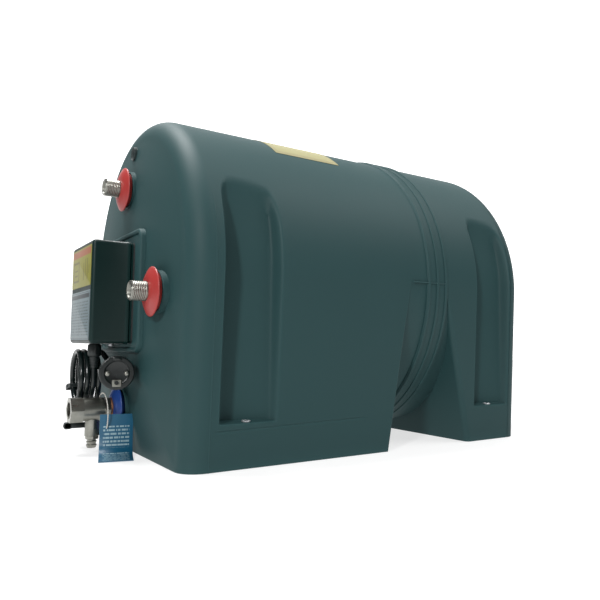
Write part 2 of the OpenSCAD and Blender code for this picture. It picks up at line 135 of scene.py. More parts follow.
def make_piece(name, patches, material, body="heater", stands_for=(), crease=32, flow=None):
    """One mesh from closed patches in millimetres. Doubles are merged, faces are turned outwards,
    and edges sharper than the crease angle stay sharp. flow gives a place along and across."""
    points = np.concatenate([p for p, _ in patches]) * 0.001
    faces, start = [], 0
    for p, f in patches:
        faces += [[start + k for k in face] for face in f]
        start += len(p)
    mesh = bpy.data.meshes.new(name)
    mesh.from_pydata(points.tolist(), [], faces)
    if flow is not None:
        corner = np.zeros(len(mesh.loops), np.int32)
        mesh.loops.foreach_get("vertex_index", corner)
        layer = mesh.uv_layers.new(name="flow")
        layer.data.foreach_set("uv", np.asarray(flow, np.float32)[corner].ravel())
    work = bmesh.new()
    work.from_mesh(mesh)
    bmesh.ops.remove_doubles(work, verts=work.verts, dist=2e-6)
    bmesh.ops.dissolve_degenerate(work, edges=work.edges, dist=1e-6)
    bmesh.ops.recalc_face_normals(work, faces=work.faces)
    work.to_mesh(mesh)
    work.free()
    mesh.shade_smooth()
    mesh.set_sharp_from_angle(angle=math.radians(crease))
    piece = bpy.data.objects.new(name, mesh)
    bpy.context.scene.collection.objects.link(piece)
    mesh.materials.append(material)
    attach(piece, body)
    if stands_for:
        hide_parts(*stands_for)
    return piece


def place_node(tree, kind, inputs=(), **settings):
    """Adds a shader node, sets its settings, and fills its sockets from (name or number, value or
    another node's socket) pairs."""
    made = tree.nodes.new("ShaderNode" + kind)
    for key, value in settings.items():
        setattr(made, key, value)
    for key, value in dict(inputs).items():
        if isinstance(value, bpy.types.NodeSocket):
            tree.links.new(value, made.inputs[key])
        else:
            made.inputs[key].default_value = value
    return made


def open_group(name, inputs, outputs):
    """A shader node group with named inputs (name, kind, start value) and outputs (name, kind)."""
    tree = bpy.data.node_groups.new(name, "ShaderNodeTree")
    for label, kind, start in inputs:
        socket = tree.interface.new_socket(label, in_out="INPUT", socket_type="NodeSocket" + kind)
        socket.default_value = start
    for label, kind in outputs:
        tree.interface.new_socket(label, in_out="OUTPUT", socket_type="NodeSocket" + kind)
    return tree, tree.nodes.new("NodeGroupInput"), tree.nodes.new("NodeGroupOutput")


def maths(tree, operation, *values):
    """The result of a maths node on plain numbers or other nodes' sockets."""
    return place_node(tree, "Math", dict(enumerate(values)), operation=operation).outputs[0]


def finish_group(tree, given, out, gain, roughness, strength, distance, height):
    """Ends a group with its colour times a gain, a roughness, and a bump raised by a height."""
    tinted = place_node(tree, "VectorMath", {0: given.outputs["Colour"], "Scale": gain},
                        operation="SCALE")
    raised = place_node(tree, "Bump", {"Strength": strength, "Distance": distance,
                                       "Height": height})
    for key, socket in (("Colour", tinted.outputs[0]), ("Roughness", roughness),
                        ("Normal", raised.outputs["Normal"])):
        tree.links.new(socket, out.inputs[key])
    return tree


def surfaced(name, group, values):
    """A material whose shader takes its colour, roughness and normal from a node group with its
    own values. Gives the material, its tree, its shader and the group's node."""
    material = bpy.data.materials.new(name)
    material.use_nodes = True
    tree = material.node_tree
    shader = tree.nodes["Principled BSDF"]
    surface = place_node(tree, "Group", values, node_tree=group)
    for output, key in (("Colour", "Base Color"), ("Roughness", "Roughness"),
                        ("Normal", "Normal")):
        tree.links.new(surface.outputs[output], shader.inputs[key])
    return material, tree, shader, surface


def moulded_group():
    """Skin of a moulded or extruded part. Colour is mixed towards a darker and a lighter shade by
    a cloudy noise, which moves the roughness too, and a fine noise raises the surface."""
    tree, given, out = open_group("moulded_skin", [
        ("Colour", "Color", (0.1, 0.1, 0.1, 1)), ("Cloud size", "Float", 9.0),
        ("Cloud depth", "Float", 0.2), ("Roughness", "Float", 0.5), ("Grain size", "Float", 900.0),
        ("Grain height", "Float", 0.1), ("Edge light", "Float", 0.2)],
        [("Colour", "Color"), ("Roughness", "Float"), ("Normal", "Vector")])
    where = place_node(tree, "TexCoord").outputs["Object"]
    cloud = place_node(tree, "TexNoise", {"Vector": where, "Scale": given.outputs["Cloud size"],
                                          "Detail": 4.0, "Roughness": 0.6})
    grain = place_node(tree, "TexNoise", {"Vector": where, "Scale": given.outputs["Grain size"],
                                          "Detail": 3.0})
    centred = maths(tree, "SUBTRACT", cloud.outputs["Fac"], 0.5)
    swing = maths(tree, "MULTIPLY", centred, given.outputs["Cloud depth"])
    edge = place_node(tree, "NewGeometry").outputs["Pointiness"]
    worn = place_node(tree, "MapRange", {"Value": edge, "From Min": 0.5, "From Max": 0.58})
    rubbed = maths(tree, "MULTIPLY", worn.outputs[0], given.outputs["Edge light"])
    gain = maths(tree, "ADD", maths(tree, "ADD", swing, 1.0), rubbed)
    rough = maths(tree, "ADD", swing, given.outputs["Roughness"])
    return finish_group(tree, given, out, gain, rough, given.outputs["Grain height"], 0.0004,
                        grain.outputs["Fac"])


MOULDED = moulded_group()


def moulded(name, colour, roughness, cloud=(9.0, 0.2), grain=(900.0, 0.1), edge=0.2, gloss=0.5):
    """A plastic or rubber with the moulded skin and its own values."""
    material, _, shader, _ = surfaced(name, MOULDED, {
        "Colour": (*colour, 1), "Cloud size": cloud[0], "Cloud depth": cloud[1],
        "Roughness": roughness, "Grain size": grain[0], "Grain height": grain[1],
        "Edge light": edge})
    shader.inputs["Specular IOR Level"].default_value = gloss
    return material


def coil_route():
    """Turns on a circle, x = cx + r cos a and z = cz - r sin a. Two turns step forwards by a
    diameter, the third swings out over them and back, and the last lies behind."""
    turn = np.linspace(0, COIL_TURNS, int(COIL_TURNS * 48) + 1)
    out = ease((turn - 2.04) / 0.26) - ease((turn - 2.48) / 0.2)
    radius = COIL_R + COIL_STEP * out
    y = (LEAD_EXIT[1] - COIL_STEP * turn + (COIL_STEP * turn - 13.6) * ease((turn - 1.95) / 0.1)
         + 18.7 * ease((turn - 2.2) / 0.38) + 1.2 * ease((turn - 2.6) / 0.36)
         + 5.6 * ease((turn - 3.02) / 0.5))
    angle = turn * 2 * np.pi
    return np.stack([COIL_MIDDLE[0] + radius * np.cos(angle), y,
                     COIL_MIDDLE[1] - radius * np.sin(angle)], 1)


lead_route = LEAD_EXIT + np.outer([0, 3.5, 7, 10.5], [0, 0, -1.0])
cord_route = np.concatenate([lead_route, coil_route(), TAIL_ROUTE])
rubber_sheath = moulded("rubber_sheath", (0.003, 0.007, 0.007), 0.24, (60.0, 0.25), (2500.0, 0.12))
cord = make_piece("mains_cord", [sweep(cord_route, circle(CORD_D / 2))], rubber_sheath,
                  stands_for=["cord_lead", "cord_coil", "cord_tail"])


# ---- Coil tie
# A soft moulded strap is pulled once round all the turns of the coil, low on its left side, and
# keeps them together.
def loft(outline_of, levels, place, loop=False):
    """Stacks outlines: level (depth, inset) gives a ring outline_of(inset) at that depth, and
    place(a, b, depth) turns outline and depth arrays into points."""
    ring = [place(outline_of(inset)[:, 0], outline_of(inset)[:, 1], depth)
            for depth, inset in levels]
    return rings(np.stack(ring), loop)


def rounded_box(width, height, corner, inset=0.0, count=7):
    """Rectangle with round corners, drawn in by inset: corner centre + r * (cos, sin)."""
    r = max(corner - inset, 0.05)
    angle = np.linspace(0, np.pi / 2, count)
    quarter = angle[None, :] + np.arange(4)[:, None] * np.pi / 2
    sx = np.array([1, -1, -1, 1])[:, None] * (width / 2 - inset - r)
    sy = np.array([1, 1, -1, -1])[:, None] * (height / 2 - inset - r)
    return np.stack([(sx + r * np.cos(quarter)).ravel(), (sy + r * np.sin(quarter)).ravel()], 1)


soft_black = moulded("soft_black", (0.006, 0.01, 0.01), 0.42, (40.0, 0.2), (1500.0, 0.2))
TIE_ANGLE = math.radians(160)
strap_levels = [(-2.4, 0.0), (2.4, 0.0), (2.4, 1.1), (-2.4, 1.1)]


def tie_place(a, b, depth):
    """Across the coil's turns at the tie's angle: a is out from the coil's middle, b along Y."""
    across = a + COIL_R + CORD_D / 2
    x = COIL_MIDDLE[0] + across * math.cos(TIE_ANGLE) - depth * math.sin(TIE_ANGLE)
    z = COIL_MIDDLE[1] - across * math.sin(TIE_ANGLE) - depth * math.cos(TIE_ANGLE)
    return np.stack([x + 0 * a, b + COIL_Y, z + 0 * a], 1)


tie = make_piece("coil_tie", [loft(lambda i: rounded_box(14.4, 31.4, 3.5, i), strap_levels,
                                   tie_place, True)],
                 soft_black, stands_for=["cord_tie"])


# ---- Plug
# The lead ends in a moulded two-pin plug with a round face, finger ribs behind it, and an earth
# contact let into its edge. Its pins are plated brass with rounded tips.
PLUG_PLACE, PLUG_TURN = np.array([72.0, -285.0, 95.0]), math.radians(-14)


def lathe(profile, place, count=48, loop=False, ripple=None):
    """Turns a profile of (radius, height) rows about a line: place(r cos a, r sin a, height).
    ripple(angle, height) is added to the radius, as for a thread or ribs."""
    profile = np.asarray(profile, float)
    angle = np.arange(count) * 2 * np.pi / count
    radius = profile[:, :1] + (0 if ripple is None else ripple(angle[None, :], profile[:, 1:]))
    flat = [(radius * np.cos(angle)).ravel(), (radius * np.sin(angle)).ravel(),
            np.repeat(profile[:, 1], count)]
    return rings(place(*flat).reshape(len(profile), count, 3), loop)


def at_plug(a, b, height):
    """Plug's own directions: height looks out of its face, a is across it and b is up."""
    c, s = math.cos(PLUG_TURN), math.sin(PLUG_TURN)
    return PLUG_PLACE + np.stack([c * height - s * a, s * height + c * a, b], -1)


def grip_ribs(angle, height):
    """Finger ribs on both flanks: a fine wave along the body, fading towards top and bottom."""
    window = ease((-height - 20) / 4) * ease((height + 44) / 4)
    return 0.7 * np.sin(height * 2.1) * window * np.abs(np.cos(angle)) ** 1.5


body_height = np.concatenate([[0, -0.3, -1, -2, -6, -11], np.linspace(-12, -46, 70),
                              [-48, -52, -57, -62, -66, -69]])
body_radius = np.interp(-body_height, [0, 0.3, 1, 2, 12, 15, 20, 30, 44, 46.5, 48, 57, 69],
                        [17.2, 18, 18.4, 18.5, 18.5, 17.6, 15.4, 13.4, 10.6, 7.4, 6.7, 5.7, 4.4])
face_rings = np.array([[2, -1.6], [11.5, -1.6], [12.6, -1.2], [13.2, 0], [16.4, 0.0]])
plug_profile = np.concatenate([face_rings, np.stack([body_radius, body_height], 1)])
plug_rubber = moulded("plug_rubber", (0.002, 0.005, 0.005), 0.3, (50.0, 0.25), (1800.0, 0.2))
plug = make_piece("plug", [
    lathe(plug_profile, at_plug, 96, ripple=grip_ribs),
    loft(lambda i: rounded_box(9, 5, 1, i), [(-9, 0), (0.2, 0), (0.6, 0.4)],
         lambda a, b, d: at_plug(a, b + 15.8, np.full_like(a, d)))],
    plug_rubber, stands_for=["plug_body"], crease=50)


def metal_group():
    """Worked metal. Fine noise stretched along one direction varies roughness and raises faint
    scratches, and a coarse noise darkens the colour where it has tarnished."""
    tree, given, out = open_group("worked_metal", [
        ("Colour", "Color", (0.6, 0.6, 0.6, 1)), ("Stretch", "Vector", (1, 1, 1)),
        ("Scratch size", "Float", 400.0), ("Tarnish", "Float", 0.3), ("Roughness", "Float", 0.3),
        ("Scratch height", "Float", 0.1)],
        [("Colour", "Color"), ("Roughness", "Float"), ("Normal", "Vector")])
    where = place_node(tree, "TexCoord").outputs["Object"]
    drawn = place_node(tree, "VectorMath", {0: where, 1: given.outputs["Stretch"]},
                       operation="MULTIPLY")
    line = place_node(tree, "TexNoise", {"Vector": drawn.outputs[0], "Detail": 3.0,
                                         "Scale": given.outputs["Scratch size"]})
    patch = place_node(tree, "TexNoise", {"Vector": where, "Scale": 55.0, "Detail": 5.0})
    dull = place_node(tree, "MapRange", {"Value": patch.outputs["Fac"], "From Min": 0.4,
                                         "From Max": 0.75})
    loss = maths(tree, "MULTIPLY", dull.outputs[0], given.outputs["Tarnish"])
    kept = maths(tree, "SUBTRACT", 1.0, loss)
    rub = maths(tree, "MULTIPLY", line.outputs["Fac"], 0.25)
    base = maths(tree, "ADD", rub, given.outputs["Roughness"])
    rough = maths(tree, "MULTIPLY_ADD", loss, 0.4, base)
    return finish_group(tree, given, out, kept, rough, given.outputs["Scratch height"], 0.0002,
                        line.outputs["Fac"])


METAL = metal_group()


def metal(name, colour, roughness, stretch=(1, 1, 1), scratch=(400.0, 0.1), tarnish=0.3):
    """A metal with the worked surface and its own values."""
    material, _, shader, _ = surfaced(name, METAL, {
        "Colour": (*colour, 1), "Stretch": stretch, "Scratch size": scratch[0],
        "Scratch height": scratch[1], "Tarnish": tarnish, "Roughness": roughness})
    shader.inputs["Metallic"].default_value = 1.0
    return material


plated_brass = metal("plated_brass", (0.32, 0.32, 0.285), 0.18, (1, 0.1, 1), (700.0, 0.1), 0.35)
PIN_PROFILE = [(1.2, 19), (1.8, 18.7), (2.25, 17.8), (2.4, 16.5), (2.4, 8), (2.4, -2), (2.4, -8)]
pins = make_piece("plug_pins_turned", [
    lathe(PIN_PROFILE, lambda a, b, h, s=s: at_plug(a + s, b, h), 24) for s in (-9.5, 9.5)],
    plated_brass, stands_for=["plug_pins"])

earth_plate = loft(lambda i: rounded_box(10, 8.4, 1.5, i),
                   [(-3.0, 0), (-0.6, 0), (0.1, 0.5)],
                   lambda a, b, d: at_plug(a, b - 11.2, np.full_like(a, d)))
earth_eye = lathe([(3.1, -0.4), (3.1, 0.5), (2.7, 0.8), (2.3, 0.5), (2.3, -0.4)],
                  lambda a, b, h: at_plug(a, b - 10.6, h), 32, True)
earth = make_piece("earth_contact", [earth_plate, earth_eye], plated_brass,
                   stands_for=["plug_earth"])
earth_hole = make_piece("earth_socket", [lathe([(1.6, -0.2), (2.2, 0.2), (2.2, 0.25)],
                        lambda a, b, h: at_plug(a, b - 10.6, h), 32)], soft_black)


# ---- Casing
# Two blow-moulded polyethylene shells, foamed on the inside, make one body: a barrel whose sides
# run down into two hollow feet. Each side has two grooves, which end in the ledges that the fixing
# screws go through, and between the feet the barrel is bare.
BARREL_R, AXIS_Z, SIDE_LEAN = 194.0, 206.0, 10.0
FRONT_Y, REAR_Y, EDGE_R, DOME_H = -250.0, 240.0, 24.0, 14.0
GROOVE_Y, GROOVE_HALF, GROOVE_X, GROOVE_RISE = 182.0, 30.0, 173.5, 6.5
LEDGE_Z, GROOVE_TOP, GROOVE_CORNER = 48.0, 306.0, 24.0
SKIRT_EDGE, LEG_EDGE = (4.0, 32.0), (138.0, 89.0)
JOINT_Y, SADDLE_R, FLASH_Y = 75.5, 193.0, -224.2
FACE_MIDDLE = np.array([0.0, FRONT_Y, 190.0])

# Places round half of the end view: along the floor, up the leaning side and over the barrel
floor_part = np.linspace(0, 1, 13)[:-1]
side_z = np.concatenate([np.linspace(0, 34, 6), np.linspace(36, 45, 13), [45.8, 46.6, 47.1, 47.6,
                         48.1, 48.6, 49.4, 50.6, 53, 57], np.linspace(63, 200, 24)])
arc_angle = np.radians(np.linspace(0, 90, 49))
rest_z = np.concatenate([0 * floor_part, side_z, AXIS_Z + BARREL_R * np.sin(arc_angle)])


def end_outline(inset):
    """Half the end view: x = t (184 - inset) on the floor, x = side(z) - inset up the side, and
    (194 - inset) (cos, sin) about the barrel's axis over the top."""
    low, lean, over = np.split(inset, [len(floor_part), len(floor_part) + len(side_z)], axis=1)
    low_x = floor_part * (BARREL_R - SIDE_LEAN - low)
    lean_x = BARREL_R - SIDE_LEAN * (1 - side_z / AXIS_Z) - lean
    x = np.concatenate([low_x, lean_x, (BARREL_R - over) * np.cos(arc_angle)], 1)
    z = np.concatenate([0 * low_x, side_z + 0 * lean_x,
                        AXIS_Z + (BARREL_R - over) * np.sin(arc_angle)], 1)
    return x, z


def groove_depth(y, z):
    """How far a groove is sunk, from 0 to 1: the distance to a tall box with round upper corners,
    sqrt(max(dy, 0)^2 + max(k dz, 0)^2) - corner, where k draws the rear corner out downwards,
    eased over its wall, and a sharp ledge below."""
    beside = y - np.sign(y) * GROOVE_Y
    dy = np.abs(beside) - (GROOVE_HALF - GROOVE_CORNER)
    k = np.where(beside > 0, 0.45, 1.0)
    dz = k * (z - GROOVE_TOP) + GROOVE_CORNER
    away = np.hypot(np.maximum(dy, 0), np.maximum(dz, 0)) - GROOVE_CORNER
    return ease((3.5 - away) / 8) * ease((z - LEDGE_Z + 1.6) / 2)


def scribe_line(y, z):
    """A fine moulded line low on the front skirt, which climbs a little towards the rear."""
    along = ease((y + 222) / 8) * ease((-30 - y) / 8)
    return 0.8 * along * np.exp(-((z - 39.5 - (y + 215) * 0.02) / 0.8) ** 2)


def flash_line(y, z):
    """A faint upright line of mould flash where the rounded front edge runs into the side."""
    return 0.45 * np.exp(-((y - FLASH_Y) / 0.7) ** 2) * ease((290 - z) / 30)


def skin(y, inset):
    """Rows of the outer skin at each place y along, drawn in by inset, with grooves and lines. A
    groove's floor rises from front to rear by 6.5 (y - middle) / 30 either way, and evens out
    towards its top, where it runs out into the barrel."""
    x, z = end_outline(inset)
    across = np.clip((y - np.sign(y) * GROOVE_Y) / GROOVE_HALF, -1, 1)
    even = ease((z - 215) / 70)
    floor_x = GROOVE_X + GROOVE_RISE * across * (1 - 0.7 * even) - 5 * even
    sunk = np.maximum(x - floor_x, 0) * groove_depth(y, z)
    sunk = sunk + (x > 150) * (scribe_line(y, z) - flash_line(y, z))
    return np.stack([x - sunk, y + 0 * x, z], -1)


def slant_at(edge, z):
    """Place along of a foot's slanting edge at height z: from edge[0] on the floor to edge[1] at
    the height of the barrel's axis and above."""
    return edge[0] + (edge[1] - edge[0]) * np.clip(z / AXIS_Z, 0, 1)


def bare_barrel(part, edge):
    """Rows between the feet: each place is drawn along its own radius to the saddle's circle, and
    part runs from 0 at the slanting edge of the foot to 1 at the joint."""
    x, z = end_outline(np.zeros((len(part), len(rest_z))))
    angle = np.arctan2(z - AXIS_Z, x)
    radius = np.where(angle < 0, SADDLE_R, BARREL_R)
    z = AXIS_Z + radius * np.sin(angle)
    slant = slant_at(edge, z)
    return np.stack([radius * np.cos(angle), slant + part[:, None] * (JOINT_Y - slant), z], -1)


def foot_edge(part, start, edge, round_r):
    """Rows of skin from the place start to the slanting edge of a foot, which is rounded off by
    round_r (1 - sqrt(1 - g^2)) where g is 1 at the edge. The rounding fades towards the axis."""
    slant = slant_at(edge, rest_z)
    y = start + part[:, None] * (slant - start)
    near = round_r * np.clip((AXIS_Z - rest_z) / 70, 0, 1) + 1e-6
    gap = np.clip(1 - np.abs(y - slant) / near, 0, 1)
    return skin(y, near * (1 - np.sqrt(1 - gap ** 2)))


def even_rows(y, inset=0.0):
    """Rows of skin square to the barrel's axis."""
    flat = np.zeros((len(y), len(rest_z)))
    return skin(np.asarray(y)[:, None] + flat, np.broadcast_to(inset, len(y))[:, None] + flat)


def rounded_end(y_end, inwards):
    """Rows round an end's edge: y_end + r (1 - sin a) inwards, drawn in by r (1 - cos a)."""
    a = np.radians(np.linspace(90, 0, 13))
    return even_rows(y_end + inwards * EDGE_R * (1 - np.sin(a)), EDGE_R * (1 - np.cos(a)))


def whole(half):
    """Mirrors half rows in x to whole rings; both ends of a half row lie on the middle line."""
    return np.concatenate([half, (half[:, ::-1] * np.array([-1, 1, 1]))[:, 1:-1]], 1)


wall_steps = np.array([-5, -3.5, -2.4, -1.2, 0, 1.2, 2.4, 3.5, 5])
groove_rows = np.concatenate([wall_steps - GROOVE_HALF, [-21, -15, -8, 0, 8, 15, 21],
                              wall_steps + GROOVE_HALF])
edge_part = np.concatenate([np.linspace(0, 0.9, 20), [0.94, 0.97, 0.98, 0.988, 0.994, 0.998, 1]])
joint_part = np.array([0, 0.03, 0.2, 0.5, 0.99])

# Front face: a flat pillow, P = middle + t (rim - middle) and y = -250 - 14 (1 - t^2)
rim = even_rows([FRONT_Y], EDGE_R)
face_t = np.concatenate([[0.004, 0.03], np.linspace(0.07, 1, 30)[:-1]])[:, None, None]
face = FACE_MIDDLE + face_t * (rim - FACE_MIDDLE)
face[..., 1] = FRONT_Y - DOME_H * (1 - face_t[..., 0] ** 2)
front_half = np.concatenate([
    face, rounded_end(FRONT_Y, 1), even_rows(FLASH_Y + np.arange(-1.4, 1.5, 0.35)),
    even_rows(-GROOVE_Y + groove_rows),
    foot_edge(edge_part, -140.0, SKIRT_EDGE, 1.6), bare_barrel(joint_part, SKIRT_EDGE)])
rear_half = np.concatenate([
    bare_barrel(joint_part[::-1], LEG_EDGE), foot_edge(edge_part[::-1], 145.9, LEG_EDGE, 7.0),
    even_rows(GROOVE_Y + groove_rows), rounded_end(REAR_Y, -1)[::-1]])

# A proud frame and a flat pad on the front face take the thermostat box
BOX_Z, PAD_Y = 185.0, -264.0


def on_front(x0, z0):
    """Outlines on the front face: a is to the right, b is up, and the level is the place along."""
    return lambda a, b, level: np.stack([a + x0, level + 0 * a, b + z0], -1)


frame_levels = [(-252, 0), (-264.2, 0.5), (-265.6, 1.1), (-266.3, 2.2), (-266.5, 3.5),
                (-266.3, 4.8), (-265.6, 5.9), (-264.2, 6.5), (-252, 7)]
box_frame = loft(lambda i: rounded_box(158, 142, 14, i, 12), frame_levels,
                 on_front(0, BOX_Z + 2), True)
box_pad = loft(lambda i: rounded_box(147, 131, 9, i, 12), [(-252, 0), (PAD_Y + 0.02, 0)],
               on_front(0, BOX_Z + 2))
STUB_PLACES = {"hot": (0.0, 315.0), "exchanger_right": (120.0, 182.0),
               "exchanger_left": (-120.0, 182.0), "cold": (0.0, 50.0)}
boss_profile = [(23.6, -246), (23, -256), (22.7, -260.2), (21.9, -260.95), (20, -261), (4, -261)]
bosses = [lathe(boss_profile, on_front(x, z), 72) for x, z in STUB_PLACES.values()]
casing_green = moulded("casing_polyethylene", (0.015, 0.046, 0.048), 0.6, (7.0, 0.16),
                       (1100.0, 0.16), 0.22, 0.24)
make_piece("casing_front", [rings(whole(front_half)), box_frame, box_pad] + bosses, casing_green,
           stands_for=["front_shell"], crease=38)
make_piece("casing_rear", [rings(whole(rear_half))], casing_green,
           stands_for=["rear_shell"], crease=38)


# ---- Joint band
# The shells meet in the saddle under a thin welded band with three half-round beads, which runs
# right round the barrel. The mould's own seam crosses it at half height on either side.
bead = np.linspace(0, np.pi, 9)
bead_rows = [(2.4 * np.sin(bead) + BARREL_R + 0.9, 2.1 * -np.cos(bead) + JOINT_Y + step)
             for step in (-14.5, 0, 14.5)]
band_profile = np.concatenate([
    [(BARREL_R - 3, JOINT_Y - 17.5), (BARREL_R + 0.4, JOINT_Y - 17.5)],
    *[np.stack(pair, 1) for pair in bead_rows],
    [(BARREL_R + 0.4, JOINT_Y + 17.5), (BARREL_R - 3, JOINT_Y + 17.5)]])
band_profile[:, 0] = np.minimum(band_profile[:, 0], BARREL_R + 2.4)
seams = [loft(lambda i: rounded_box(58, 1.3, 0.6, i, 3), [(190, 0), (196.0, 0), (196.3, 0.35)],
              lambda a, b, d, s=s: np.stack([s * d + 0 * a, a + 63, b + AXIS_Z], -1))
         for s in (-1, 1)]
make_piece("joint_band_beads", [lathe(band_profile, on_front(0, AXIS_Z), 192, True)] + seams,
           casing_green, stands_for=["joint_band"], crease=60)


# ---- Vent recess
# A blind round recess high on the front face shows where the foam was poured in.
# Painted shade: a darker copy of the casing colour, put where a recess or hole in the casing is
# dark only from shade.
painted_shade_plastic = moulded("painted_shade_plastic", (0.01, 0.02, 0.02), 0.6, (60.0, 0.2), (1200.0, 0.2))
recess_profile = [(8.6, -248), (8.6, -254.6), (8.2, -255.0), (7.6, -254.4), (6, -253), (1, -252.4)]
# The recess's cup takes the painted shade.
make_piece("vent_recess", [lathe(recess_profile, on_front(-4, 363), 40)], painted_shade_plastic)


# ---- Fixing sleeves
# A zinc-plated steel tube through each foot keeps the fixing screw from crushing the plastic.
# Its end lies flush in the ledge.
zinc = metal("zinc_plate", (0.62, 0.63, 0.65), 0.3, (1, 1, 1), (250.0, 0.15), 0.4)
sleeve_profile = [(3.5, 1), (5, 1), (5, 48.0), (4.6, 48.5), (3.9, 48.5), (3.5, 48.1)]
sleeves, bores = [], []
for x in (-178, 178):
    for y in (-182, 182):
        def upright(a, b, height, x=x, y=y):
            return np.stack([a + x, b + y, height], -1)
        sleeves.append(lathe(sleeve_profile, upright, 36, True))
        bores.append(lathe([(3.6, 47.0), (3.6, 48.05), (0.5, 48.05)], upright, 24))
make_piece("sleeve_ends", sleeves, zinc, stands_for=["fixing_sleeves"])
# Painted shade: the dark discs shut each sleeve's hole just under its end, where the hole is dark
# only from shade.
make_piece("sleeve_bores", bores, painted_shade_plastic)


# ---- Pipe stubs
# Half inch pipe ends with a right-hand thread of 1.81 mm pitch, turned and nickel plated, come
# out through the front end and are open at the tip.
THREAD_R, THREAD_PITCH, THREAD_H = 10.48, 1.814, 0.38
STUB_TIP, STUB_ROOT = -288.8, -240.0


def thread(angle, y):
    """Ridge that turns once per pitch: a rounded triangle wave of y / pitch - angle / 2 pi, eased
    in at the tip and ending before the collar."""
    phase = np.mod((y - STUB_TIP) / THREAD_PITCH - angle / (2 * np.pi), 1)
    ridge = ease(1 - np.abs(2 * phase - 1))
    return -THREAD_H * (1 - ridge) * ease((y - STUB_TIP - 0.4) / 0.8) * ease((-273.2 - y) / 1)


nickel = metal("nickel_plate", (0.3, 0.3, 0.27), 0.2, (1, 0.1, 1), (600.0, 0.12), 0.4)
stub_y = np.concatenate([np.arange(STUB_TIP + 1.3, -272.6, 0.2), [-262, STUB_ROOT]])
outside = np.stack([np.full(len(stub_y), THREAD_R), stub_y], 1)
stub_profile = np.concatenate([
    [(7.5, STUB_TIP + 26), (7.5, STUB_TIP + 0.6), (8.1, STUB_TIP), (9.3, STUB_TIP)], outside,
    [(7.5, STUB_ROOT)]])


def stub_thread(angle, y):
    """The thread, kept off the chamfer at the tip."""
    return thread(angle, y) * (y > STUB_TIP + 1.2)


for node, cad_name in (("hot", "hot_stub"), ("exchanger_right", "exchanger_stub_right"),
                        ("exchanger_left", "exchanger_stub_left")):
    x, z = STUB_PLACES[node]
    patch = lathe(stub_profile, on_front(x, z), 72, True, stub_thread)
    make_piece(node + "_pipe_end", [patch], nickel, stands_for=[cad_name],
               crease=50)
# Painted shade: a dark, rough copy of the nickel shuts each stub's bore a little inside the collar,
# so the open pipe looks dark as its shaded inside would.
bore_shade_metal = metal("stub_bore_painted_shade", (0.12, 0.11, 0.1), 0.6, (1, 1, 1), (500.0, 0.3), 0.5)
bore_end = [(7.6, -263), (7.6, -266), (0.5, -266.2)]
make_piece("stub_bores", [lathe(bore_end, on_front(*STUB_PLACES[node]), 32)
                          for node in ("hot", "exchanger_right", "exchanger_left")],
           bore_shade_metal)


# ---- Collars
# Domed push-on collars of glossy coloured plastic cover the pipe holes: red on the hot and the
# exchanger pipes, blue on the cold one. Each rim stands out over a narrower neck.
dome = np.linspace(0, 1, 12)
collar_profile = np.concatenate([
    [(10.6, -261.1), (20.4, -261.1), (21.4, -264.4), (25.9, -265.0), (26.5, -265.5),
     (26.5, -266.2)],
    np.stack([26.2 - 14.4 * dome, -266.7 - 5.0 * np.sin(dome * np.pi / 2)], 1),
    [(11.0, -271.9), (10.6, -271.5)]])
red_plastic = moulded("red_plastic", (0.3, 0.024, 0.021), 0.42, (30.0, 0.14), (900.0, 0.06), 0.1)
blue_plastic = moulded("blue_plastic", (0.006, 0.035, 0.17), 0.4, (30.0, 0.14), (900.0, 0.06), 0.1)
for node, finish, finish_slot, cad_name in (
        ("hot", red_plastic, "red_collar", "hot_collar"),
        ("exchanger_right", red_plastic, "red_collar", "exchanger_collar_right"),
        ("exchanger_left", red_plastic, "red_collar", "exchanger_collar_left"),
        ("cold", blue_plastic, "blue_collar", "cold_collar")):
    patch = lathe(collar_profile, on_front(*STUB_PLACES[node]), 72, True)
    make_piece(node + "_collar_dome", [patch], finish, stands_for=[cad_name])


# ---- Thermostat box
# A flat moulded frame is screwed to the pad, and a deep cover with rounded edges closes it. The
# cover's mouth has a small lip, and one screw at the top and one below hold it.
BOX_W, BOX_H, BOX_FRONT, COVER_Y = 104.0, 118.0, -310.0, -268.5
box_plastic = moulded("box_plastic", (0.002, 0.013, 0.012), 0.4, (20.0, 0.2), (1400.0, 0.2), 0.6,
                      0.22)
quarter = np.radians(np.linspace(0, 90, 7))
cover_levels = [(COVER_Y, 8), (COVER_Y, 1.2), (COVER_Y - 0.6, 0.2), (COVER_Y - 4.2, 0.2),
                (COVER_Y - 4.8, 0.7), *[(BOX_FRONT + 4 * (1 - np.sin(a)), 0.7 + 4 * (1 - np.cos(a)))
                                        for a in quarter], (BOX_FRONT, 8)]
make_piece("thermostat_box_cover",
           [loft(lambda i: rounded_box(BOX_W, BOX_H, 5, i, 8), cover_levels, on_front(0, BOX_Z))],
           box_plastic, stands_for=["box_cover"], crease=40)
base_levels = [(-265.6, 1.6), (-267.6, 1.6), (-268.2, 2.2), (-268.4, 3)]
base = loft(lambda i: rounded_box(BOX_W, BOX_H, 5, i, 8), base_levels, on_front(0, BOX_Z))
make_piece("thermostat_box_frame", [base], box_plastic, stands_for=["box_base"],
           crease=40)


# ---- Cable gland
# The lead comes out of the box's floor through a screwed gland with finger flats, whose soft
# tapered tail keeps it from being bent sharply.
GLAND_X, GLAND_Y, BOX_FLOOR = -15.0, -289.0, 126.0


def at_gland(a, b, height):
    """The gland's own line runs straight down at its place; height is height above the floor."""
    return np.stack([a + GLAND_X, b + GLAND_Y, height], -1)


def finger_flats(angle, height):
    """Twelve shallow flats round the nut: cos(12 angle), only between its two rims."""
    return 0.3 * np.cos(12 * angle) * ease((height - 113.5) / 1) * ease((124.5 - height) / 1)


